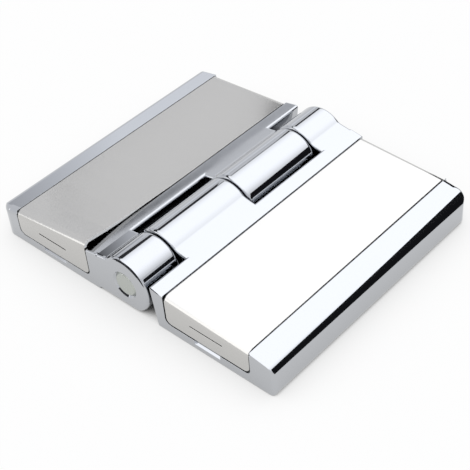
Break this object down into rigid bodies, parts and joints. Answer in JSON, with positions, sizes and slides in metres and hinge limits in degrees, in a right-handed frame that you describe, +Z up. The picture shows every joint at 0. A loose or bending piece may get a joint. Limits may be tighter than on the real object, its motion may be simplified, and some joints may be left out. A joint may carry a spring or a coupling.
{
  "type": "heavy-duty door hinge",
  "caption": "Surface-mounted door hinge: thick cast leaves with interlocking knuckles on a pressed pin, the screws hidden under clip-on sheet covers.",
  "frame": {"origin": "on the mounting plane, under the middle of the pin", "axes": "+X across the leaves towards the door leaf, +Y along the pin, +Z up from the mounting plane"},
  "size_m": [0.111, 0.09, 0.0177],
  "materials": {
    "chrome_casting": "polished chrome plate on a zinc die casting",
    "cover_sheet": "satin stainless sheet",
    "pin_steel": "turned stainless bar",
    "bush_polymer": "moulded acetal"
  },
  "bodies": {
    "frame": {"frame_leaf": "chrome_casting", "frame_cover": "cover_sheet", "hinge_pin": "pin_steel"},
    "door": {"door_leaf": "chrome_casting", "door_cover": "cover_sheet", "bush_long_near": "bush_polymer", "bush_long_far": "bush_polymer", "bush_short": "bush_polymer"}
  },
  "joints": [
    {"name": "door_swing", "type": "hinge", "parent": "frame", "child": "door", "pos_m": [0, 0, 0.0085], "axis": [0, -1, 0], "range_deg": [-100, 120]}
  ]
}
